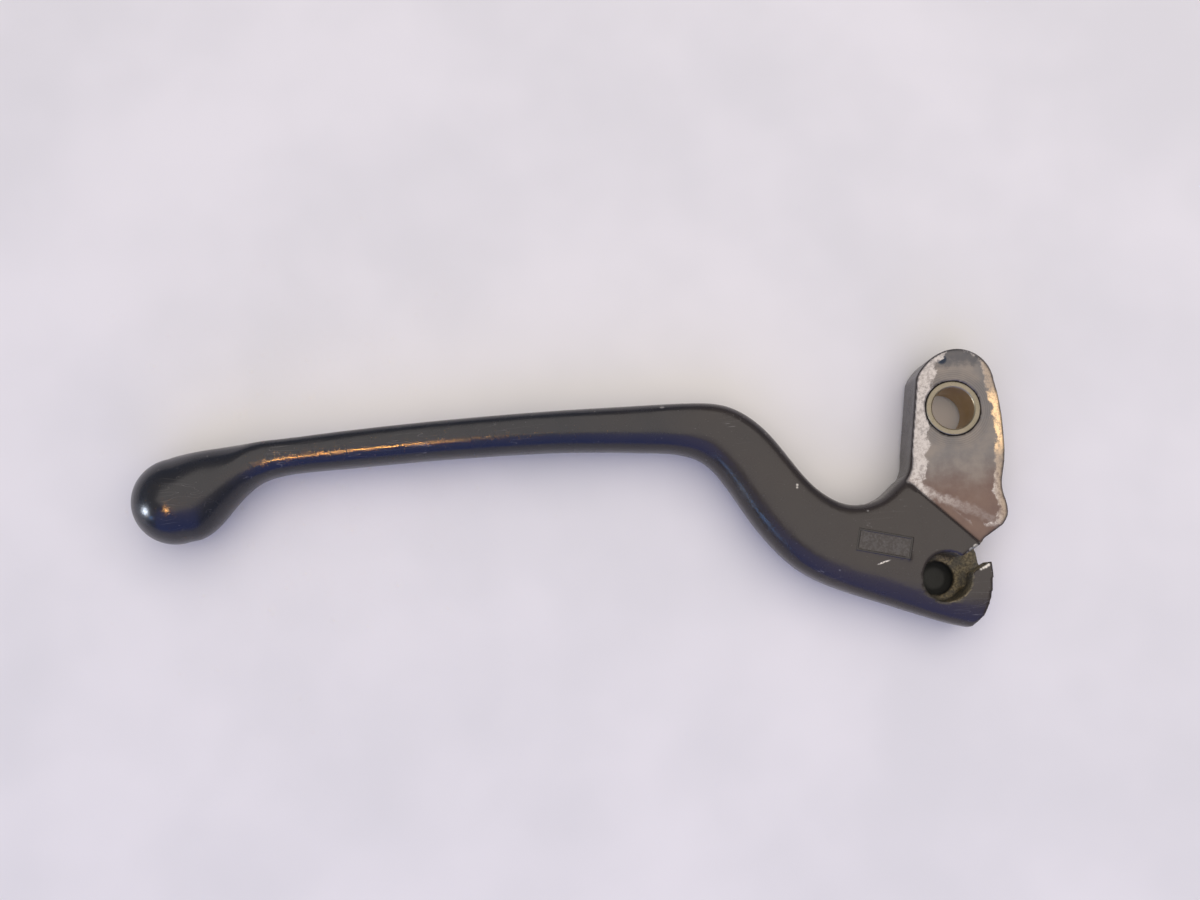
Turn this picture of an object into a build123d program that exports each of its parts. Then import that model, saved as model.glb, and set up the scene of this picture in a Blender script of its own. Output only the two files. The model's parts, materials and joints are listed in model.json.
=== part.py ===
from build123d import *
import math
import os

# A motorcycle clutch lever: a one-piece aluminium lever casting and its bronze pivot bush.
#
# Frame: the origin is on the pivot axis, midway through the leg. X runs along the blade towards
# the pivot, Y points to the handlebar, and Z to the face that the cable nipple drops into.
# Plan means the view along Z. The back of the lever faces the handlebar, the front the fingers.

# --- Driving dimensions, mm -------------------------------------------------------------------

# Ball end
ball_diameter = 20.8
ball_reach = 187.1  # pivot axis to ball centre, along the blade
ball_drop = 5.8  # ball centre in front of the pivot axis

# Neck and blade: the straight finger grip between the ball and the dogleg
neck_length = 26.0  # ball centre to where the blade's section is reached
neck_height = 12.0  # across the blade in Z, beside the neck
blade_height = 13.4  # across the blade in Z, at mid-length
blade_back = 8.2  # the blade's back edge, behind the pivot axis
blade_end = -74.0  # where the dogleg starts

# Body: the thick casting between the dogleg and the cable end
body_thickness = 15.6

# Leg: the flat machined plate that carries the pivot
leg_thickness = 12.0
leg_tip_radius = 8.6
leg_tip_x = 2.1
leg_tip_y = 5.85
leg_edge_round = 0.6
step_x = -13.1  # a point on the line where the machined face meets the body
step_y = -16.8
step_angle = -46.0

# Pivot bush and the running fit between it and the lever
bush_bore = 10.0
bush_outside = 13.0
bush_proud = 0.1  # stands out of the leg at each face
bush_chamfer = 0.3
bush_edge_break = 0.2
running_clearance = 0.03  # on the radius

# Cable nipple seat
seat_x = -6.5
seat_y = -39.6
seat_diameter = 11.4
seat_depth = 10.0
seat_chamfer = 0.5
pocket_diameter = 8.0
pocket_web = 2.2  # metal left under the relief pocket
pocket_round = 1.4
slot_width = 4.4
slot_angle = 27.4  # the cable leaves at this angle to the blade
groove_height = 4.2  # clears the cable's swing, under the near jaw
groove_swing = 34.0

# Raised border of the blank maker's panel
panel_length = 13.0
panel_width = 5.4
panel_line = 0.55
panel_relief = 0.15
panel_root = 1.0  # how deep the border is rooted in the body
panel_x = -20.4
panel_y = -30.7
panel_angle = -15.0

# Cutters
overcut = 1.0  # how far a cutter runs past the face it opens
end_reach = 20.0  # from the seat's axis out past the end face
far_reach = 50.0  # past everything beyond the step

os.makedirs("parts", exist_ok=True)

ball_radius = ball_diameter / 2
blade_half = blade_height / 2
neck_half = neck_height / 2
body_half = body_thickness / 2
leg_half = leg_thickness / 2
seat_radius = seat_diameter / 2
pocket_radius = pocket_diameter / 2
seat_floor = body_half - seat_depth
pocket_floor = pocket_web - body_half

ball_x = -ball_reach
ball_y = -ball_drop
blade_start = ball_x + neck_length
blade_length = blade_end - blade_start
section_points = 28


def station(back, front, half_height, crest, back_power, front_power):
    """One cross-section of the arm, as its plane and the points round it.

    back and front are the plan points of the two edges, crest is the share of the width at which
    the section is thickest, and the powers say how square each side is: 2 is round.
    """
    back = Vector(*back)
    front = Vector(*front)
    across = front - back
    width = across.length
    centre = back + across * crest
    plane = Plane(origin=centre, x_dir=across, z_dir=across.cross(Vector(0, 0, 1)))
    points = []
    for i in range(section_points):
        turn = 2 * math.pi * i / section_points
        u = -math.cos(turn)
        v = math.sin(turn)
        side = width * crest if u < 0 else width * (1 - crest)
        power = back_power if u < 0 else front_power
        x = math.copysign(side * abs(u) ** (2 / power), u)
        y = math.copysign(half_height * abs(v) ** (2 / power), v)
        points.append((x, y))
    return plane, points


def neck_station(along, back, front, height):
    """A round section beside the ball: its place along X and its three reaches in ball radii."""
    x = ball_x + along * ball_radius
    edges = (x, ball_y + back * ball_radius), (x, ball_y - front * ball_radius)
    return station(*edges, height * ball_radius, 0.48, 2.0, 2.0)


def blade_station(share, back, front, half_height):
    """A section of the blade, at a share of its length: flat on the back, rounder in front."""
    x = blade_start + share * blade_length
    return station((x, back), (x, front), half_height, 0.45, 3.0, 2.2)


stations = [
    # the neck starts inside the ball and leaves it mostly on the front side
    neck_station(-0.144, 0.976, 0.952, 0.942),
    neck_station(0.48, 1.106, 0.942, 0.923),
    neck_station(0.96, 1.149, 0.654, 0.798),
    neck_station(1.44, 1.178, 0.144, 0.692),
    station((ball_x + 20, 6.7), (ball_x + 20, -3.4), neck_half + 0.4, 0.45, 2.8, 2.2),
    # blade
    blade_station(0.0, blade_back - 1.25, -1.8, neck_half),
    blade_station(0.13, blade_back - 0.8, -1.4, neck_half + 0.2),
    blade_station(0.36, blade_back - 0.2, -1.2, blade_half - 0.2),
    blade_station(0.59, blade_back, -1.4, blade_half),
    blade_station(0.82, blade_back - 0.2, -2.2, blade_half + 0.1),
    blade_station(1.0, blade_back - 0.6, -3.7, blade_half + 0.2),
    # dogleg
    station((-62, 7.1), (-66, -4.8), blade_half + 0.4, 0.45, 3.4, 2.3),
    station((-53.3, 5.5), (-60.5, -7.1), blade_half + 0.6, 0.45, 3.6, 2.3),
    station((-47.0, 1.3), (-56.6, -11.3), blade_half + 0.7, 0.45, 3.8, 2.4),
    station((-41.2, -6.0), (-51.8, -19.6), blade_half + 0.8, 0.46, 4.0, 2.4),
    station((-35.8, -14.1), (-46.4, -28.0), body_half - 0.2, 0.46, 4.2, 2.5),
    # body, round the throat, under the leg and out to the cable end
    station((-31.4, -18.4), (-39.6, -35.3), body_half, 0.46, 4.4, 2.6),
    station((-25.2, -20.8), (-29.4, -41.0), body_half, 0.46, 4.6, 2.6),
    station((-18.6, -19.3), (-21.4, -44.3), body_half, 0.46, 4.6, 2.6),
    station((-14.4, -16.0), (-15.0, -46.9), body_half, 0.46, 4.6, 2.7),
    station((-10.2, -13.8), (-9.6, -49.1), body_half, 0.46, 4.6, 2.7),
    station((-5.6, -12.6), (-4.6, -50.9), body_half, 0.46, 4.6, 2.7),
    station((-1.0, -12.2), (0.2, -52.2), body_half, 0.46, 4.6, 2.7),
    station((3.8, -12.2), (4.6, -53.4), body_half, 0.46, 4.6, 2.7),
    station((8.4, -12.2), (9.0, -54.6), body_half, 0.46, 4.6, 2.7),
]

sections = []
for plane, points in stations:
    with BuildSketch(plane) as section:
        with BuildLine():
            Spline(*points, periodic=True)
        make_face()
    sections.append(section.sketch.face())

# The leg: a round tip about the pivot, a shoulder, a wall that turns into the throat, and on the
# other side a stop nose that swells below a slight waist. Its foot is buried in the body.
with BuildPart() as leg:
    with BuildSketch():
        with BuildLine():
            tip = CenterArc((leg_tip_x, leg_tip_y), leg_tip_radius, 0, 105)
            shoulder = TangentArc(tip @ 1, (-7.8, 8.2), tangent=tip % 1)
            wall = Line(shoulder @ 1, (-11.4, -10.5))
            throat = ThreePointArc(wall @ 1, (-12.15, -13.6), (-13.7, -16.2))
            foot = Polyline(throat @ 1, (-12.0, -22.0), (-10.0, -32.0), (-1.0, -34.0), (8.0, -28.7))
            Spline(foot @ 1, (10.1, -24.9), (9.4, -20.0), (10.6, -14.0), (11.3, -8.5), tip @ 0)
        make_face()
    extrude(amount=leg_half, both=True)
    fillet(leg.faces().filter_by(Axis.Z).edges(), leg_edge_round)

# --- Lever casting -----------------------------------------------------------------------------

with BuildPart() as lever:
    loft(sections)

    # the ball, which the neck grows out of
    with Locations(Location((ball_x, ball_y, 0), (0, 90, 0))):
        Sphere(ball_radius)

    # beyond the step the body is machined down to the leg's faces
    for side in (1, -1):
        with BuildSketch(Plane(origin=(step_x, step_y, side * leg_half))):
            with Locations(Location((0, 0, 0), (0, 0, step_angle))):
                Rectangle(2 * far_reach, far_reach, align=(Align.CENTER, Align.MIN))
        extrude(amount=side * body_half, mode=Mode.SUBTRACT)

    # trimmed to the curved end face, with its bevelled front corner
    with BuildSketch():
        with BuildLine():
            end_face = ThreePointArc((2.9, -31.7), (4.0, -40.3), (1.7, -48.9))
            bevel = Line(end_face @ 1, (-2.4, -53.2))
            Polyline(bevel @ 1, (-2.4, -60.0), (16.0, -60.0), (16.0, -24.0), end_face @ 0)
        make_face()
    extrude(amount=body_thickness, both=True, mode=Mode.SUBTRACT)

    add(leg.part)

    # pivot bore, with a running fit on the bush
    with Locations(Plane.XY.offset(leg_half)):
        Hole(bush_outside / 2 + running_clearance)

    # cable nipple seat: a stepped blind bore, turned about its own axis
    with BuildSketch(Plane(origin=(seat_x, seat_y, 0), x_dir=(1, 0, 0), z_dir=(0, -1, 0))):
        with BuildLine():
            Polyline(
                (0, pocket_floor),
                (pocket_radius - pocket_round, pocket_floor),
                (pocket_radius, pocket_floor + pocket_round),
                (pocket_radius, seat_floor),
                (seat_radius, seat_floor),
                (seat_radius, body_half - seat_chamfer),
                (seat_radius + 2 * seat_chamfer, body_half + seat_chamfer),
                (0, body_half + seat_chamfer),
                (0, pocket_floor),
            )
        make_face()
    revolve(axis=Axis((seat_x, seat_y, 0), (0, 0, 1)), mode=Mode.SUBTRACT)

    # slot that the cable leaves through, from the near face down to the seat's floor
    with BuildSketch(Plane(origin=(seat_x, seat_y, seat_floor))):
        with Locations(Location((0, 0, 0), (0, 0, slot_angle))):
            Rectangle(end_reach, slot_width, align=(Align.MIN, Align.CENTER))
    extrude(amount=seat_depth + overcut, mode=Mode.SUBTRACT)

    # under the near jaw a fan-shaped groove lets the cable swing
    with BuildSketch(Plane(origin=(seat_x, seat_y, seat_floor))):
        for swing in (0, groove_swing):
            with Locations(Location((0, 0, 0), (0, 0, slot_angle - swing))):
                Rectangle(end_reach, slot_width, align=(Align.MIN, Align.CENTER))
        make_hull()
    extrude(amount=groove_height, mode=Mode.SUBTRACT)

    # raised border of the blank panel
    panel_plane = Plane(origin=(panel_x, panel_y, body_half - panel_root))
    with BuildSketch(panel_plane.rotated((0, 0, panel_angle))):
        Rectangle(panel_length, panel_width)
        Rectangle(panel_length - 2 * panel_line, panel_width - 2 * panel_line, mode=Mode.SUBTRACT)
    extrude(amount=panel_root + panel_relief)

lever.part.label = "lever"
export_step(lever.part, "parts/lever.step")

# --- Pivot bush --------------------------------------------------------------------------------

bush_length = leg_thickness + 2 * bush_proud
with BuildPart() as pivot_bush:
    Cylinder(bush_outside / 2, bush_length)
    Hole(bush_bore / 2)
    mouths = pivot_bush.edges().filter_by(GeomType.CIRCLE).group_by(SortBy.RADIUS)[0]
    chamfer(mouths, bush_chamfer)
    rims = pivot_bush.edges().filter_by(GeomType.CIRCLE).group_by(SortBy.RADIUS)[-1]
    chamfer(rims, bush_edge_break)

pivot_bush.part.label = "pivot_bush"
export_step(pivot_bush.part, "parts/pivot_bush.step")
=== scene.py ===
import json
import math
from functools import partial

import bpy
from bpy.props import FloatProperty, FloatVectorProperty, IntProperty, PointerProperty
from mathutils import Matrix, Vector
from mathutils.kdtree import KDTree

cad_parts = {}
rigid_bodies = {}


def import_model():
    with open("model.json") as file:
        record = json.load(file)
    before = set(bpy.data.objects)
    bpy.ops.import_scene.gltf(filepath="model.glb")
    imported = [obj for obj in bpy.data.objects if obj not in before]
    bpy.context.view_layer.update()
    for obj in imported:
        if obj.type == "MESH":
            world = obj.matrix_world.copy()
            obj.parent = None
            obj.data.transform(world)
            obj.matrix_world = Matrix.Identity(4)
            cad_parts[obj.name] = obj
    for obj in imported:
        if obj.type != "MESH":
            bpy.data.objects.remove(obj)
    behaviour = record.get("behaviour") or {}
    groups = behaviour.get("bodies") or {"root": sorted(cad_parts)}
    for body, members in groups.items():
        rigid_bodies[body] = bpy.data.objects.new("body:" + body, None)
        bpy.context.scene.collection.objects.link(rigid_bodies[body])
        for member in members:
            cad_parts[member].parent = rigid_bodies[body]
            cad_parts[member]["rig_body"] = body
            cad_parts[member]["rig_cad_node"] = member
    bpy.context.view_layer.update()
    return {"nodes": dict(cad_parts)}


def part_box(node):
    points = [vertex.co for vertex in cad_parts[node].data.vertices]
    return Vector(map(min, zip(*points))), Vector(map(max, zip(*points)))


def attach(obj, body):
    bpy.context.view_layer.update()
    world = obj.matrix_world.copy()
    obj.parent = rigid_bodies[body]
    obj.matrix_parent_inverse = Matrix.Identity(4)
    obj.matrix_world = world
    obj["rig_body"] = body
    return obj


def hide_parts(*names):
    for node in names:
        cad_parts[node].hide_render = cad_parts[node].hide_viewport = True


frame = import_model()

bl_info = {
    "name": "Clutch lever",
    "version": (1, 0, 0),
    "blender": (4, 5, 0),
    "location": "View3D > Sidebar > Clutch lever",
    "description": "A coated motorcycle clutch lever with its bronze pivot bush",
    "category": "Object",
}

MM = 0.001

# The machined leg, in the frame's own axes: the pivot is the origin and Z is its axis.
LEG_HALF = 6.0 * MM
BODY_HALF = 7.8 * MM
BORE_CLEAR = 7.2 * MM  # a radius just outside the leg's bore
STEP_POINT = Vector((-13.1, -16.8, 0)) * MM
STEP_NORMAL = Vector((0.7193, 0.6947, 0))  # from the step line towards the pivot

# The cable nipple seat, its slot and the fan groove under the near jaw.
SEAT_CENTRE = Vector((-6.5, -39.6, 0)) * MM
SEAT_RADIUS = 5.7 * MM
SEAT_MOUTH = 7.3 * MM
SEAT_FLOOR = -2.2 * MM
GROOVE_TOP = 2.0 * MM
SLOT_HALF = 2.2 * MM
SLOT_ANGLE = math.radians(27.4)
GROOVE_ANGLE = math.radians(-6.6)

# The blank maker's panel on the body's near face.
PANEL_CENTRE = (-20.4, -30.7)
PANEL_HALF = (6.2, 2.4)  # to the middle of its border's line
PANEL_ANGLE = math.radians(-15.0)

# Where the coating is gone, in millimetres: nicks by centre and radius, and one short scrape.
NICKS = (
    ((-39.2, -15.2, 7.6), 0.34),
    ((-39.3, -15.8, 7.6), 0.26),
    ((-54.0, 2.6, 5.6), 0.40),
    ((-13.7, -43.0, 7.6), 0.40),
    ((-12.6, -43.4, 7.4), 0.30),
    ((-3.2, -42.8, 7.8), 0.35),
    ((0.7, -33.3, 7.6), 0.75),
    ((-0.4, -33.9, 7.8), 0.60),
    ((-1.3, -34.6, 7.8), 0.40),
    ((1.2, -38.4, 7.8), 0.36),
    ((1.8, -38.1, 7.8), 0.42),
    ((2.4, -37.9, 7.7), 0.44),
    ((3.0, -37.6, 7.6), 0.40),
    ((-0.4, -49.9, 6.6), 0.70),
    ((-31.4, -36.0, 7.0), 0.22),
    ((-26.9, -40.6, 6.0), 0.20),
    ((-22.6, -41.7, 6.6), 0.24),
    ((-52.0, -1.5, 7.0), 0.20),
    ((-23.3, -22.6, 7.2), 0.22),
)
SCRAPE_PLACE = (-21.1, -34.95, 7.6)
SCRAPE_ANGLE = math.radians(14.0)


# --- Colour and node helpers ------------------------------------------------------------------

EASED = {"interpolation_type": "SMOOTHSTEP"}
COLOURS = {"data_type": "RGBA"}


def linear(hex_colour):
    """An sRGB hex colour as the linear RGBA that nodes take."""
    channels = []
    for i in (1, 3, 5):
        c = int(hex_colour[i:i + 2], 16) / 255
        channels.append(c / 12.92 if c <= 0.04045 else ((c + 0.055) / 1.055) ** 2.4)
    return (*channels, 1.0)


def add(tree, kind, *inputs, named=None, **settings):
    """Adds a shader node with its settings.

    Inputs fill the sockets in use in their order, and named fills them by name. Each is a value,
    an output socket, or a node, which stands for its first output in use. None leaves a socket be.
    """
    made = tree.nodes.new("ShaderNode" + kind)
    for name, value in settings.items():
        setattr(made, name, value)
    filled = list(zip([socket for socket in made.inputs if socket.enabled], inputs))
    filled += [(made.inputs[name], value) for name, value in (named or {}).items()]
    for socket, value in filled:
        if isinstance(value, bpy.types.Node):
            value = next(output for output in value.outputs if output.enabled)
        if isinstance(value, bpy.types.NodeSocket):
            tree.links.new(value, socket)
        elif value is not None:
            socket.default_value = value
    return made


def new_material(name):
    """An empty node material, and add for its tree."""
    material = bpy.data.materials.new(name)
    material.use_nodes = True
    material.node_tree.nodes.clear()
    return material, partial(add, material.node_tree)


def place_in_mm(node):
    """Object coordinates in millimetres."""
    return node("VectorMath", node("TexCoord").outputs["Object"], 1 / MM, operation="SCALE")


def spot_of(node, place, centre, radius, soft):
    """1 inside a ball of that centre and radius in millimetres, easing to 0 over soft."""
    gap = node("VectorMath", place, centre, operation="DISTANCE")
    return node("MapRange", gap, radius - soft, radius + soft, 1.0, 0.0, **EASED)


# --- Materials ----------------------------------------------------------------------------------


def coated_casting(settings):
    """Satin black baked coating on cast aluminium, machined bare and rubbed on the leg.

    The coating gives a broad satin gloss with a fine orange peel; the machined faces give grey
    and brown stained metal with bright rubbed margins; the seat gives pitted, yellowed metal
    with painted shade darkening its left side.
    """
    material, node = new_material("satin_black_coating_on_aluminium")
    mm = place_in_mm(node)
    x, y, z = node("SeparateXYZ", mm).outputs
    machined = node("Attribute", attribute_name="machined").outputs["Fac"]
    seat = node("Attribute", attribute_name="seat").outputs["Fac"]
    # blotches 1.6 mm across ragged the worn edges, speckles 0.5 mm across break them up
    rub = node("TexNoise", mm, 1 / 1.6, 4.0, 0.55)
    speckle = node("TexNoise", mm, 1 / 0.5, 2.0, 0.55)
    chips = bare_chips(node, mm, rub, speckle)
    field, border = panel_marks(node, mm, z)
    coat = coating_colour(node, settings, mm, x, chips, speckle, field, border)
    bare, rubbed = machined_colour(node, settings, mm, x, y, rub)

    # the pivot's washer has left rings 0.5 mm apart round the bush
    from_pivot = node("VectorMath", node("CombineXYZ", x, y), operation="LENGTH")
    rings = node("Math", from_pivot, 2 * math.pi / 0.5, operation="MULTIPLY")
    rings = node("Math", rings, operation="SINE")
    near_bush = node("MapRange", from_pivot, 8.2, 10.5, 1.0, 0.0, **EASED)
    ring_tone = node("MapRange", rings, -1.0, 1.0, 0.0, 0.28, **EASED)
    ring_tone = node("Math", ring_tone, near_bush, operation="MULTIPLY")
    bare = node("Mix", ring_tone, bare, linear("#55504B"), **COLOURS)
    bare = leg_stains(node, mm, y, rub, bare)
    shine = rubbed_colour(node, settings, x, y)
    bare = node("Mix", rubbed, bare, shine, **COLOURS)

    # nipple seat: pitted metal, yellowed by old grease, pits 0.5 mm across, with painted shade on its
    # left side
    pits = node("TexNoise", mm, 1 / 0.55, 4.0, 0.7)
    worn = seat_colour(node, mm, x, z, pits)
    # worn carries the seat's real wear and grime together with its painted shade
    colour = node("Mix", machined, coat, bare, **COLOURS)
    colour = node("Mix", seat, colour, worn, **COLOURS)
    metal = node("Math", machined, 0.85, operation="MULTIPLY")
    metal = node("Math", chips, metal, operation="MAXIMUM")
    seat_metal = node("Math", seat, 0.4, operation="MULTIPLY")
    metal = node("Math", metal, seat_metal, operation="MAXIMUM")
    haze = node("TexNoise", mm, 1 / 5, 5.0, 0.55)
    coat_rough = node("MapRange", haze, 0.25, 0.75, 0.20, 0.31, **EASED)
    bare_rough = node("MapRange", rubbed, 0.0, 1.0, 0.46, 0.34, **EASED)
    rough = node("Mix", machined, coat_rough, bare_rough)
    rough = node("Mix", seat, rough, 0.62)

    # relief: orange peel on the coating, stipple and border on the panel, tool marks on the leg
    peel = node("TexNoise", mm, MM / settings.peel_size, 2.0, 0.5)
    stipple = node("Math", speckle, field, border, operation="MULTIPLY_ADD")
    coat_height = node("Math", stipple, 4.0, peel, operation="MULTIPLY_ADD")
    turned = node("Mapping", mm, None, (0, 0, 0.7), (1.0, 0.18, 1.0))
    tooled = node("TexNoise", turned, 1 / 0.45, 4.0, 0.55)
    washed = node("Math", rings, near_bush, operation="MULTIPLY")
    tooled = node("Math", washed, 0.3, tooled, operation="MULTIPLY_ADD")
    height = node("Mix", machined, coat_height, tooled)
    pitted = node("Math", pits, 3.0, operation="MULTIPLY")
    height = node("Mix", seat, height, pitted)
    height = node("Math", chips, -1.5, height, operation="MULTIPLY_ADD")
    bump = node("Bump", named={"Height": height, "Strength": 0.5, "Distance": 0.03 * MM})
    shader = node("BsdfPrincipled", colour, metal, rough, named={"Normal": bump})
    node("OutputMaterial", shader)
    return material


def bare_chips(node, mm, rub, speckle):
    """1 where bare metal shows through the coating: nicks, a scrape, and corners worn thin."""
    chips = 0.0
    for centre, radius in NICKS:
        chips = node("Math", chips, spot_of(node, mm, centre, radius, 0.18), operation="MAXIMUM")
    scrape = node("VectorMath", mm, SCRAPE_PLACE, operation="SUBTRACT")
    scrape = node("VectorRotate", scrape, None, (0, 0, 1), -SCRAPE_ANGLE)
    scrape = node("VectorMath", scrape, (0.33, 2.6, 1.0), operation="MULTIPLY")
    scrape = spot_of(node, scrape, (0, 0, 0), 0.50, 0.15)
    broken = node("MapRange", speckle, 0.30, 0.55, **EASED)
    scrape = node("Math", scrape, broken, operation="MULTIPLY")
    chips = node("Math", chips, scrape, operation="MAXIMUM")
    edge = node("NewGeometry").outputs["Pointiness"]
    corner = node("Math", rub, 0.10, edge, operation="MULTIPLY_ADD")
    corner = node("MapRange", corner, 0.67, 0.74, 0.0, 0.45, **EASED)
    return node("Math", chips, corner, operation="MAXIMUM")


def panel_marks(node, mm, z):
    """The blank panel on the body's near face: 1 inside its border, and 1 on the border's line."""
    turned = node("VectorMath", mm, (*PANEL_CENTRE, 0), operation="SUBTRACT")
    turned = node("VectorRotate", turned, None, (0, 0, 1), -PANEL_ANGLE)
    past = node("VectorMath", turned, operation="ABSOLUTE")
    past = node("VectorMath", past, (*PANEL_HALF, 0), operation="SUBTRACT")
    past = node("SeparateXYZ", past).outputs
    gap = node("Math", past["X"], past["Y"], operation="MAXIMUM")
    near = node("MapRange", z, 6.8, 7.2, **EASED)
    field = node("MapRange", gap, -0.50, -0.25, 1.0, 0.0, **EASED)
    field = node("Math", field, near, operation="MULTIPLY")
    border = node("Math", gap, operation="ABSOLUTE")
    border = node("MapRange", border, 0.10, 0.34, 1.0, 0.0, **EASED)
    border = node("Math", border, near, operation="MULTIPLY")
    return field, border


def coating_colour(node, settings, mm, x, chips, speckle, field, border):
    """The coating, browned towards the body with a slow drift, specked, scratched and chipped."""
    drift = node("TexNoise", mm, 1 / 22, 3.0, 0.55)
    browned = node("Math", drift, 90.0, x, operation="MULTIPLY_ADD")
    browned = node("MapRange", browned, -60.0, 25.0, **EASED)
    coat = node("Mix", browned, (*settings.coat_colour, 1), (*settings.coat_warm, 1), **COLOURS)
    dust = node("TexNoise", mm, 1 / 0.5, 1.0, 0.55)
    dust = node("MapRange", dust, 0.74, 0.78, 0.0, 0.22, **EASED)
    coat = node("Mix", dust, coat, linear("#8A8784"), **COLOURS)

    # hair scratches along the blade, in a few places: thin contour lines of a stretched noise
    stretched = node("Mapping", mm, None, (0, 0, 0.12), (0.045, 0.62, 0.62))
    hair = node("TexNoise", stretched, 1.0, 1.0, 0.55)
    hair = node("Math", hair, 0.5, operation="SUBTRACT")
    hair = node("Math", hair, operation="ABSOLUTE")
    hair = node("MapRange", hair, 0.0, 0.006, 0.30, 0.0, **EASED)
    sparse = node("TexNoise", mm, 1 / 14, 1.0, 0.55)
    sparse = node("MapRange", sparse, 0.54, 0.62, **EASED)
    hair = node("Math", hair, sparse, operation="MULTIPLY")
    coat = node("Mix", hair, coat, linear("#9A9794"), **COLOURS)

    # the panel's stippled field and dark border
    mottled = node("MapRange", speckle, 0.40, 0.62, 0.05, 0.42, **EASED)
    mottled = node("Math", field, mottled, operation="MULTIPLY")
    coat = node("Mix", mottled, coat, linear("#5A5755"), **COLOURS)
    lined = node("Math", border, 0.55, operation="MULTIPLY")
    coat = node("Mix", lined, coat, linear("#0C0B0B"), **COLOURS)
    return node("Mix", chips, coat, linear("#B9B6B2"), **COLOURS)


def machined_colour(node, settings, mm, x, y, rub):
    """The leg's stained metal, browner towards its foot, and where it is rubbed bright."""
    cloud = node("TexNoise", mm, 1 / 6, 5.0, 0.6)
    patchy = node("MapRange", cloud, 0.35, 0.70, **EASED)
    bare = node("Mix", patchy, (*settings.stain_grey, 1), linear("#837C76"), **COLOURS)
    foot = node("Math", cloud, 14.0, y, operation="MULTIPLY_ADD")
    foot = node("MapRange", foot, -14.0, -4.0, 0.6, 0.0, **EASED)
    bare = node("Mix", foot, bare, (*settings.stain_brown, 1), **COLOURS)

    # margins rubbed bright where the leg slides in the perch: broad on the throat's side
    margin = node("Attribute", attribute_name="margin").outputs["Fac"]
    ragged = node("TexNoise", mm, 1 / 3.2, 5.0, 0.65)
    ragged = node("Math", ragged, 5.0, -2.5, operation="MULTIPLY_ADD")
    broad = node("MapRange", x, -4.0, 2.0, 1.0, 0.0, **EASED)
    above_foot = node("MapRange", y, -19.0, -14.0, 0.1, 1.0, **EASED)
    broad = node("Math", broad, above_foot, operation="MULTIPLY")
    width = node("MapRange", y, 7.5, 12.0, 2.1, 0.2, **EASED)
    width = node("Math", broad, 1.6, width, operation="MULTIPLY_ADD")
    reach = node("Math", margin, ragged, operation="ADD")
    reach = node("Math", reach, width, operation="SUBTRACT")
    rubbed = node("MapRange", reach, -0.30, 0.30, 1.0, 0.0, **EASED)

    # below the throat's corner the rubbed band leaves the step and fades across the foot
    past_step = node("VectorMath", mm, STEP_NORMAL, operation="DOT_PRODUCT")
    past_step = node("Math", past_step, STEP_POINT.dot(STEP_NORMAL) / MM, operation="SUBTRACT")
    at_step = node("MapRange", past_step, 2.0, 3.6, 1.0, 0.0, **EASED)
    right_of_corner = node("MapRange", x, -9.5, -6.5, **EASED)
    at_step = node("Math", at_step, right_of_corner, operation="MULTIPLY")
    off_step = node("Math", 1.0, at_step, operation="SUBTRACT")
    rubbed = node("Math", rubbed, off_step, operation="MULTIPLY")
    above_tip = node("MapRange", y, -29.0, -28.0, **EASED)
    rubbed = node("Math", rubbed, above_tip, operation="MULTIPLY")
    band_middle = node("MapRange", x, -12.0, 8.0, 1.2, 6.5, **EASED)
    band = node("Math", past_step, band_middle, operation="SUBTRACT")
    band = node("Math", band, operation="ABSOLUTE")
    wave = node("Math", rub, 2.4, -1.2, operation="MULTIPLY_ADD")
    band = node("Math", band, wave, operation="ADD")
    band = node("MapRange", band, 0.2, 1.3, 1.0, 0.0, **EASED)
    faded = node("MapRange", x, -11.0, 3.0, 0.75, 0.22, **EASED)
    band = node("Math", band, faded, operation="MULTIPLY")
    at_foot = node("MapRange", y, -19.0, -14.0, 1.0, 0.0, **EASED)
    band = node("Math", band, at_foot, operation="MULTIPLY")
    rubbed = node("Math", rubbed, band, operation="MAXIMUM")
    streak = node("TexNoise", mm, 1 / 0.7, 4.0, 0.7)
    streak = node("MapRange", streak, 0.36, 0.60, 0.42, 1.0, **EASED)
    return bare, node("Math", rubbed, streak, operation="MULTIPLY")


def leg_stains(node, mm, y, rub, bare):
    """Traces of the black coating left at the leg's tip."""
    trace = spot_of(node, mm, (-1.3, 12.0, 6.0), 1.3, 0.5)
    tip = node("Math", rub, 7.0, y, operation="MULTIPLY_ADD")
    tip = node("MapRange", tip, 12.5, 15.5, 0.0, 0.5, **EASED)
    tip = node("Math", trace, tip, operation="MAXIMUM")
    return node("Mix", tip, bare, linear("#2E3642"), **COLOURS)


def rubbed_colour(node, settings, x, y):
    """Bright metal, yellowed along the far margin and brightest at its middle."""
    from_foot = node("MapRange", y, -13.0, -8.0, **EASED)
    to_tip = node("MapRange", y, 1.0, 5.0, 1.0, 0.0, **EASED)
    middle = node("Math", from_foot, to_tip, operation="MULTIPLY")
    gold = node("Mix", middle, linear("#9C8E80"), linear("#F2CFA2"), **COLOURS)
    far_side = node("MapRange", x, 6.0, 9.0, **EASED)
    return node("Mix", far_side, (*settings.bright_metal, 1), gold, **COLOURS)


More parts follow.
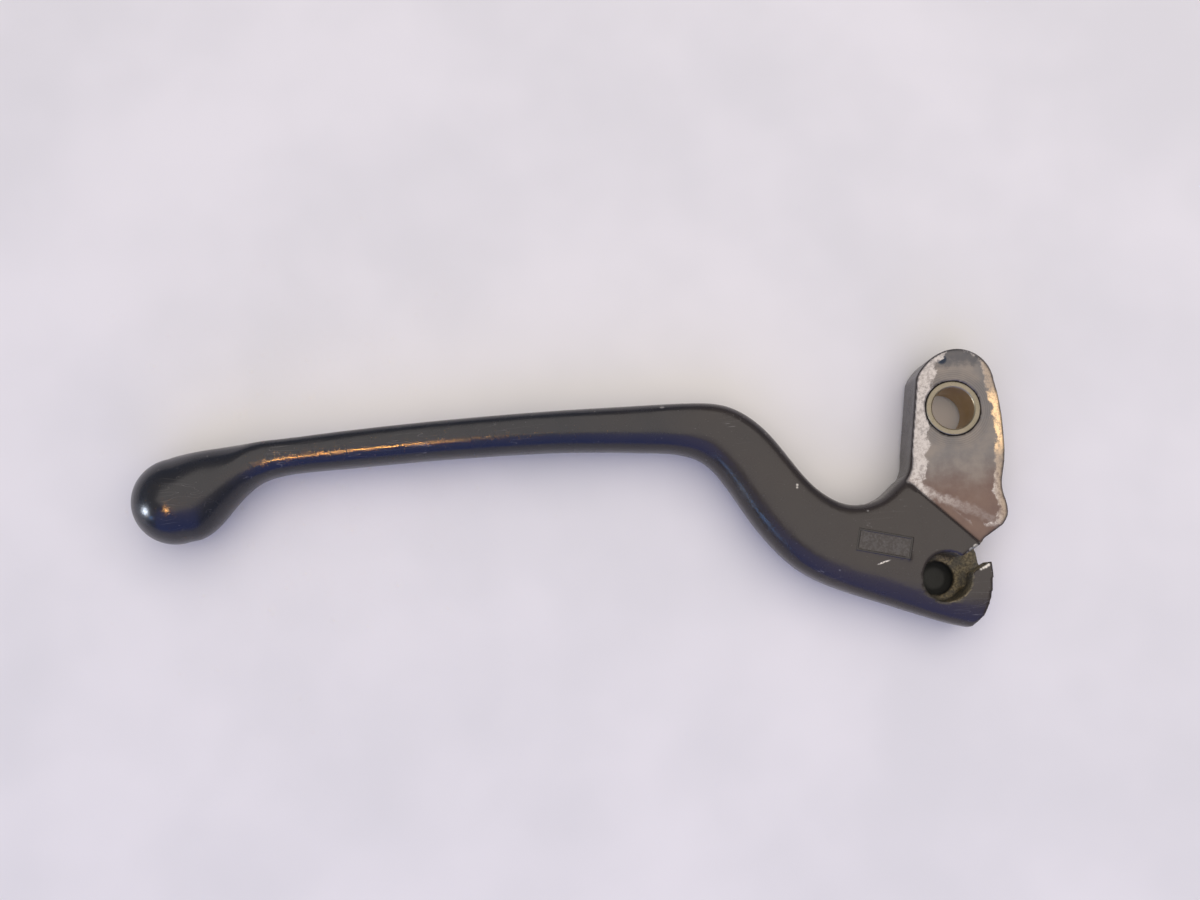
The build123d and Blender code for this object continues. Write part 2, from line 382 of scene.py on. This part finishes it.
def seat_colour(node, mm, x, z, pits):
    """The seat's pitted metal, greased grey in patches, darker at its floor, and with painted shade
    darkening its left side.
    """
    patchy = node("MapRange", pits, 0.40, 0.62, **EASED)
    worn = node("Mix", patchy, linear("#5B5341"), linear("#94876A"), **COLOURS)
    grime = node("TexNoise", mm, 1 / 3, 3.0, 0.55)
    grime = node("MapRange", grime, 0.42, 0.66, 0.0, 0.7, **EASED)
    worn = node("Mix", grime, worn, linear("#4B4B47"), **COLOURS)
    # painted shade: the seat's left side is mixed towards near black where it lies in shade
    seat_painted_shade = node("MapRange", x, -8.5, -4.5, 0.85, 0.0, **EASED)
    worn = node("Mix", seat_painted_shade, worn, linear("#24221F"), **COLOURS)
    deep = node("MapRange", z, -3.2, -2.4, 1.0, 0.0, **EASED)
    return node("Mix", deep, worn, linear("#3C3D3B"), **COLOURS)


def bush_bronze(settings):
    """Oil-soaked sintered bronze, turned, dull with pale wear: a soft khaki metal with fine pores."""
    material, node = new_material("sintered_bronze")
    mm = place_in_mm(node)
    tarnish = node("TexNoise", mm, 1 / 3.5, 4.0, 0.6)
    pale = node("MapRange", tarnish, 0.35, 0.68, **EASED)
    colour = node("Mix", pale, (*settings.bronze_colour, 1), linear("#968D7A"), **COLOURS)
    # pores are really 0.05 mm and are drawn 0.25 mm across to show
    pores = node("TexNoise", mm, 1 / 0.25, 2.0, 0.55)
    open_pores = node("MapRange", pores, 0.60, 0.72, 0.0, 0.55, **EASED)
    colour = node("Mix", open_pores, colour, linear("#5A4A33"), **COLOURS)
    x, y, z = node("SeparateXYZ", mm).outputs
    radius = node("VectorMath", node("CombineXYZ", x, y), operation="LENGTH")
    # grease lies in the narrow gap round the bush, and its bore is burnished
    rim = node("MapRange", radius, 6.38, 6.47, 0.0, 0.8, **EASED)
    colour = node("Mix", rim, colour, linear("#2E2A24"), **COLOURS)
    bore = node("MapRange", radius, 5.02, 5.15, 0.8, 0.0, **EASED)
    colour = node("Mix", bore, colour, linear("#C0A47A"), **COLOURS)
    # turning marks 0.3 mm apart
    turned = node("Math", radius, 2 * math.pi / 0.3, operation="MULTIPLY")
    turned = node("Math", turned, operation="SINE")
    height = node("Math", turned, 0.15, pores, operation="MULTIPLY_ADD")
    bump = node("Bump", named={"Height": height, "Strength": 0.35, "Distance": 0.02 * MM})
    rough = node("MapRange", tarnish, 0.3, 0.7, 0.38, 0.52, **EASED)
    shader = node("BsdfPrincipled", colour, 0.8, rough, named={"Normal": bump})
    node("OutputMaterial", shader)
    return material


def pale_paper(settings):
    """Matt white studio paper: gives an even pale ground with the faintest mottle."""
    material, node = new_material("studio_paper")
    mm = place_in_mm(node)
    mottle = node("TexNoise", mm, 1 / 60, 3.0, 0.55)
    patchy = node("MapRange", mottle, 0.3, 0.7, **EASED)
    colour = node("Mix", patchy, (*settings.paper_colour, 1), linear("#EDEBEC"), **COLOURS)
    rough = node("MapRange", mottle, 0.3, 0.7, 0.75, 0.85, **EASED)
    fibre = node("TexNoise", mm, 1 / 1.2, 3.0, 0.55)
    bump = node("Bump", named={"Height": fibre, "Strength": 0.1, "Distance": 0.05 * MM})
    shader = node("BsdfPrincipled", colour, 0.0, rough, named={
        "Normal": bump, "Specular IOR Level": 0.2,
    })
    node("OutputMaterial", shader)
    return material


# --- Settings -----------------------------------------------------------------------------------


def colour_property(name, description, hex_colour):
    return FloatVectorProperty(
        name=name, description=description, subtype="COLOR", size=3, min=0.0, max=1.0,
        default=linear(hex_colour)[:3],
    )


class LeverSettings(bpy.types.PropertyGroup):
    grain: FloatProperty(
        name="Mesh grain", description="Size of the casting's mesh cells",
        subtype="DISTANCE", unit="LENGTH",
        default=0.44 * MM, min=0.2 * MM, max=2.0 * MM, precision=5,
    )
    softening: IntProperty(
        name="Softening", description="Smoothing passes over the neck and the throat's root",
        default=30, min=0, max=200,
    )
    peel_size: FloatProperty(
        name="Orange peel", description="Width of the coating's ripples",
        subtype="DISTANCE", unit="LENGTH",
        default=0.45 * MM, min=0.1 * MM, max=3.0 * MM, precision=5,
    )
    coat_colour: colour_property("Coating", "The satin black coating", "#14151D")
    coat_warm: colour_property("Faded coating", "The coating where it has browned", "#2B231F")
    stain_grey: colour_property("Machined metal", "Stained metal of the machined leg", "#716E6D")
    stain_brown: colour_property("Brown stain", "Stain towards the leg's foot", "#67493C")
    bright_metal: colour_property(
        "Rubbed metal", "Metal rubbed bright along the leg's margins", "#B4AFAD",
    )


class BushSettings(bpy.types.PropertyGroup):
    outside: FloatProperty(
        name="Outside", description="Outside diameter", subtype="DISTANCE", unit="LENGTH",
        default=2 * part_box("pivot_bush")[1].x, min=0.0, precision=5,
    )
    bore: FloatProperty(
        name="Bore", description="Bore diameter", subtype="DISTANCE", unit="LENGTH",
        default=10.0 * MM, min=0.0, precision=5,
    )
    length: FloatProperty(
        name="Length", description="Length along the pivot axis", subtype="DISTANCE", unit="LENGTH",
        default=2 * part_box("pivot_bush")[1].z, min=0.0, precision=5,
    )
    mouth: FloatProperty(
        name="Mouth chamfer", description="Chamfer at each mouth of the bore",
        subtype="DISTANCE", unit="LENGTH",
        default=0.3 * MM, min=0.0, precision=5,
    )
    edge_break: FloatProperty(
        name="Rim chamfer", description="Broken edge round the outside",
        subtype="DISTANCE", unit="LENGTH",
        default=0.2 * MM, min=0.0, precision=5,
    )
    bronze_colour: colour_property("Bronze", "The bush's dull bronze", "#847D6B")


class StageSettings(bpy.types.PropertyGroup):
    floor_size: FloatProperty(
        name="Floor", description="Side of the floor", subtype="DISTANCE", unit="LENGTH",
        default=6.0, min=0.5,
    )
    paper_colour: colour_property("Paper", "The floor's paper", "#E3E2E3")


# --- Modelling helpers --------------------------------------------------------------------------


def only(piece):
    """Makes piece the one selected and active object."""
    bpy.ops.object.select_all(action="DESELECT")
    piece.select_set(True)
    bpy.context.view_layer.objects.active = piece


def eased(value, low, high):
    """0 up to low, 1 from high, and a smooth step between them."""
    t = min(max((value - low) / (high - low), 0.0), 1.0)
    return t * t * (3 - 2 * t)


def store(piece, name, values):
    """Keeps one number for each of piece's points, for its material to read."""
    attribute = piece.data.attributes.new(name, "FLOAT", "POINT")
    attribute.data.foreach_set("value", values)


def in_seat(point):
    """Whether a point is on the wall of the nipple seat, its slot or the groove."""
    skin = 0.25 * MM
    if point.z > SEAT_MOUTH:
        return False
    flat = Vector((point.x, point.y, 0)) - SEAT_CENTRE
    if flat.length < SEAT_RADIUS + skin and point.z > -5.8 * MM:
        return True
    if point.z < SEAT_FLOOR - skin:
        return False
    along = Vector((math.cos(SLOT_ANGLE), math.sin(SLOT_ANGLE), 0))
    up = Vector((-along.y, along.x, 0))
    ahead = flat.dot(along)
    if ahead > 0 and abs(flat.dot(up)) < SLOT_HALF + skin:
        return True
    low_along = Vector((math.cos(GROOVE_ANGLE), math.sin(GROOVE_ANGLE), 0))
    low_up = Vector((-low_along.y, low_along.x, 0))
    in_fan = flat.dot(up) < SLOT_HALF + skin and flat.dot(low_up) > -SLOT_HALF - skin
    return in_fan and flat.x > 0 and point.z < GROOVE_TOP + skin


# --- Operators ----------------------------------------------------------------------------------


class CLUTCHLEVER_OT_casting(bpy.types.Operator):
    """Makes the one-piece lever casting: ball end, blade, body and machined leg"""

    bl_idname = "clutch_lever.casting"
    bl_label = "Lever casting"

    def execute(self, context):
        settings = context.scene.clutch_lever
        only(frame["nodes"]["lever"])
        bpy.ops.object.duplicate()
        casting = context.object
        casting.name = "lever_casting"
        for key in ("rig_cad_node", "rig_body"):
            del casting[key]
        bpy.ops.object.parent_clear(type="CLEAR_KEEP_TRANSFORM")
        casting.data.materials.clear()

        bpy.ops.object.mode_set(mode="EDIT")
        bpy.ops.mesh.select_all(action="SELECT")
        bpy.ops.mesh.remove_doubles(threshold=0.002 * MM)
        bpy.ops.object.mode_set(mode="OBJECT")

        # even cells all over, so that edges come out slightly rounded as a cast and coated edge is
        remesh = casting.modifiers.new("cells", "REMESH")
        remesh.mode = "VOXEL"
        remesh.voxel_size = settings.grain
        bpy.ops.object.modifier_apply(modifier=remesh.name)
        if not casting.data.polygons:
            raise RuntimeError("the casting's mesh came out empty")

        self.soften(casting, settings.softening)
        even = casting.modifiers.new("even", "SMOOTH")
        even.factor = 0.5
        even.iterations = 2
        bpy.ops.object.modifier_apply(modifier=even.name)
        bpy.ops.object.shade_smooth()

        self.mark(casting)
        casting.data.materials.append(coated_casting(settings))
        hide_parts("lever")
        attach(casting, "lever")
        return {"FINISHED"}

    def soften(self, casting, passes):
        """Runs the ball into its neck and the throat into the leg, as the casting's fillets do."""
        group = casting.vertex_groups.new(name="fillets")
        throat = Vector((-12.2, -14.6)) * MM
        neck_start, neck_end = -187.0 * MM, -172.0 * MM
        for vertex in casting.data.vertices:
            x, y, z = vertex.co
            at_throat = 1 - eased((Vector((x, y)) - throat).length, 1.5 * MM, 6.0 * MM)
            past_start = eased(x, neck_start, neck_start + 3 * MM)
            past_end = eased(x, neck_end - 3 * MM, neck_end)
            weight = max(at_throat, past_start * (1 - past_end))
            if weight > 0:
                group.add([vertex.index], weight, "REPLACE")
        smooth = casting.modifiers.new("fillets", "SMOOTH")
        smooth.factor = 0.5
        smooth.iterations = passes
        smooth.vertex_group = group.name
        bpy.ops.object.modifier_apply(modifier=smooth.name)
        casting.vertex_groups.clear()

    def mark(self, casting):
        """Keeps three numbers for each point, for the material to read.

        They are how far it is machined, whether it is the seat's, and its distance in millimetres
        from the leg's outline. The bore's wall isn't part of that outline.
        """
        vertices = casting.data.vertices
        machined, seat, walls = [], [], []
        for vertex in vertices:
            beyond = (vertex.co - STEP_POINT).dot(STEP_NORMAL)
            level = 1 - eased(abs(abs(vertex.co.z) - LEG_HALF), 0.10 * MM, 0.35 * MM)
            facing = eased(abs(vertex.normal.z), 0.72, 0.93)
            machined.append(level * facing * eased(beyond, -0.15 * MM, 0.25 * MM))
            seat.append(1.0 if in_seat(vertex.co) else 0.0)
            upright = abs(vertex.normal.z) < 0.6
            if upright and beyond > -1.0 * MM and vertex.co.xy.length > BORE_CLEAR:
                walls.append(vertex.co.copy())
        tree = KDTree(len(walls))
        for i, place in enumerate(walls):
            tree.insert((place.x, place.y, 0), i)
        tree.balance()
        margin = []
        for vertex, bare in zip(vertices, machined):
            gap = tree.find((vertex.co.x, vertex.co.y, 0))[2] / MM if bare > 0 else 0.0
            margin.append(gap)
        store(casting, "machined", machined)
        store(casting, "seat", seat)
        store(casting, "margin", margin)


class CLUTCHLEVER_OT_bush(bpy.types.Operator):
    """Turns the bronze pivot bush: a plain ring, chamfered at its mouths and rims"""

    bl_idname = "clutch_lever.bush"
    bl_label = "Pivot bush"

    def execute(self, context):
        settings = context.scene.clutch_bush
        half, rim, bore = settings.length / 2, settings.outside / 2, settings.bore / 2
        profile = [
            (rim, half - settings.edge_break),
            (rim - settings.edge_break, half),
            (bore + settings.mouth, half),
            (bore, half - settings.mouth),
            (bore, -half + settings.mouth),
            (bore + settings.mouth, -half),
            (rim - settings.edge_break, -half),
            (rim, -half + settings.edge_break),
        ]
        bpy.ops.object.select_all(action="DESELECT")
        start, level = profile[0]
        bpy.ops.mesh.primitive_circle_add(vertices=144, radius=start, location=(0, 0, 0))
        bush = context.object
        bush.name = "pivot_bush_turned"
        bpy.ops.object.mode_set(mode="EDIT")
        bpy.ops.mesh.select_all(action="SELECT")
        bpy.ops.transform.translate(value=(0, 0, level))
        for radius, height in profile[1:]:
            bpy.ops.mesh.extrude_edges_move(TRANSFORM_OT_translate={"value": (0, 0, height - level)})
            grow = radius / start
            bpy.ops.transform.resize(value=(grow, grow, 1))
            start, level = radius, height
        bpy.ops.mesh.select_all(action="DESELECT")
        bpy.ops.mesh.select_non_manifold()
        bpy.ops.mesh.bridge_edge_loops()
        bpy.ops.mesh.select_all(action="SELECT")
        bpy.ops.mesh.normals_make_consistent(inside=False)
        bpy.ops.mesh.select_all(action="DESELECT")
        bpy.ops.mesh.select_non_manifold()
        bpy.ops.object.mode_set(mode="OBJECT")
        if any(edge.select for edge in bush.data.edges):
            raise RuntimeError("the bush's ring isn't closed")

        bevel = bush.modifiers.new("turned_edges", "BEVEL")
        bevel.width = 0.08 * MM
        bevel.segments = 2
        bevel.angle_limit = math.radians(25)
        bpy.ops.object.modifier_apply(modifier=bevel.name)
        bpy.ops.object.shade_smooth_by_angle(angle=math.radians(30))
        bush.data.materials.append(bush_bronze(settings))
        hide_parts("pivot_bush")
        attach(bush, "bush")
        return {"FINISHED"}


class CLUTCHLEVER_OT_stage(bpy.types.Operator):
    """Lays the pale floor, hangs the soft lights and sets the camera"""

    bl_idname = "clutch_lever.stage"
    bl_label = "Stage"

    def execute(self, context):
        settings = context.scene.clutch_stage
        self.floor(context, settings)
        self.sky(context)
        # an overhead softbox and a cool window towards the fingers' side
        self.softbox("overhead", (0.05, 0.15, 1.00), (-0.08, -0.02, 0), 1.5, 8.5, "#FFF6EE")
        self.softbox("window", (-0.35, -1.10, 0.56), (-0.08, -0.02, 0), 1.6, 6.5, "#4A70FF")
        # three small sources that show only as highlights: two cool panes and a warm lamp
        pane = self.softbox("pane", (-0.89, -0.20, 0.20), (-0.15, -0.02, 0), 0.12, 3.5, "#E6F0FF")
        strip = self.softbox("strip", (-0.68, -0.43, 0.25), (-0.046, -0.012, 0), 0.18, 0.0040, "#7CB4FF")
        strip.data.spread = math.radians(6)
        lamp = self.softbox("lamp", (-0.30, -0.33, 0.66), (-0.157, 0.0, 0), 0.05, 0.008, "#FFB765")
        lamp.data.spread = math.radians(8)
        for small in (pane, strip, lamp):
            small.visible_diffuse = False
        camera = bpy.data.objects.new("camera", bpy.data.cameras.new("camera"))
        context.scene.collection.objects.link(camera)
        camera.location = (-0.08788, -0.04029, 0.28717)
        camera.rotation_euler = (math.radians(7.6135), 0, math.radians(-4.9))
        camera.data.lens = 35.91
        camera.data.sensor_width = 36.0
        camera.data.clip_start = 0.01
        context.scene.camera = camera
        context.scene.view_settings.view_transform = "Standard"
        return {"FINISHED"}

    def floor(self, context, settings):
        """The floor touches the lever's ball and its body, which stand at different heights."""
        low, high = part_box("lever")
        # the ball rests below its centre, one radius in from its end, and the body on its far rim
        rest_x, rest_z = low.x - low.z, low.z
        body_x, body_z = high.x - 8.5 * MM, -BODY_HALF
        slope = math.atan2(body_z - rest_z, body_x - rest_x)
        bpy.ops.object.select_all(action="DESELECT")
        bpy.ops.mesh.primitive_grid_add(
            x_subdivisions=40, y_subdivisions=40, size=settings.floor_size,
        )
        floor = context.object
        floor.name = "floor"
        bpy.ops.object.mode_set(mode="EDIT")
        bpy.ops.mesh.select_all(action="SELECT")
        bpy.ops.transform.rotate(
            value=slope, orient_axis="Y", orient_type="GLOBAL", center_override=(0, 0, 0),
        )
        bpy.ops.transform.translate(value=(0, 0, rest_z - 0.05 * MM - rest_x * math.tan(slope)))
        bpy.ops.object.mode_set(mode="OBJECT")
        floor.data.materials.append(pale_paper(settings))

    def sky(self, context):
        """A pale room: bright overhead, cooler towards the horizon."""
        world = bpy.data.worlds.new("studio")
        world.use_nodes = True
        world.node_tree.nodes.clear()
        node = partial(add, world.node_tree)
        up = node("SeparateXYZ", node("TexCoord").outputs["Generated"]).outputs["Z"]
        overhead = node("MapRange", up, 0.0, 0.8, **EASED)
        tone = node("Mix", overhead, linear("#A9B4CC"), linear("#F4EFEA"), **COLOURS)
        node("OutputWorld", node("Background", tone, 0.55))
        context.scene.world = world

    def softbox(self, name, place, target, size, power, hex_colour):
        """A square light of that side in metres and power in watts, aimed at target."""
        light = bpy.data.lights.new(name, "AREA")
        light.shape = "SQUARE"
        light.size = size
        light.energy = power
        light.color = linear(hex_colour)[:3]
        box = bpy.data.objects.new(name, light)
        bpy.context.scene.collection.objects.link(box)
        box.location = place
        box.rotation_euler = (Vector(target) - Vector(place)).to_track_quat("-Z", "Y").to_euler()
        return box


class CLUTCHLEVER_PT_panel(bpy.types.Panel):
    """Lists the lever's settings and the operators that make it"""

    bl_idname = "CLUTCHLEVER_PT_panel"
    bl_label = "Clutch lever"
    bl_space_type = "VIEW_3D"
    bl_region_type = "UI"
    bl_category = "Clutch lever"

    def draw(self, context):
        scene = context.scene
        for settings, operator in (
            (scene.clutch_lever, CLUTCHLEVER_OT_casting),
            (scene.clutch_bush, CLUTCHLEVER_OT_bush),
            (scene.clutch_stage, CLUTCHLEVER_OT_stage),
        ):
            box = self.layout.box()
            for name in settings.bl_rna.properties.keys():
                if name not in ("rna_type", "name"):
                    box.prop(settings, name)
            box.operator(operator.bl_idname)


CLASSES = (
    LeverSettings,
    BushSettings,
    StageSettings,
    CLUTCHLEVER_OT_casting,
    CLUTCHLEVER_OT_bush,
    CLUTCHLEVER_OT_stage,
    CLUTCHLEVER_PT_panel,
)


def register():
    for cls in CLASSES:
        bpy.utils.register_class(cls)
    bpy.types.Scene.clutch_lever = PointerProperty(type=LeverSettings)
    bpy.types.Scene.clutch_bush = PointerProperty(type=BushSettings)
    bpy.types.Scene.clutch_stage = PointerProperty(type=StageSettings)


def unregister():
    del bpy.types.Scene.clutch_stage
    del bpy.types.Scene.clutch_bush
    del bpy.types.Scene.clutch_lever
    for cls in reversed(CLASSES):
        bpy.utils.unregister_class(cls)


def main():
    register()
    bpy.ops.clutch_lever.casting()
    bpy.ops.clutch_lever.bush()
    bpy.ops.clutch_lever.stage()


if __name__ == "__main__":
    main()
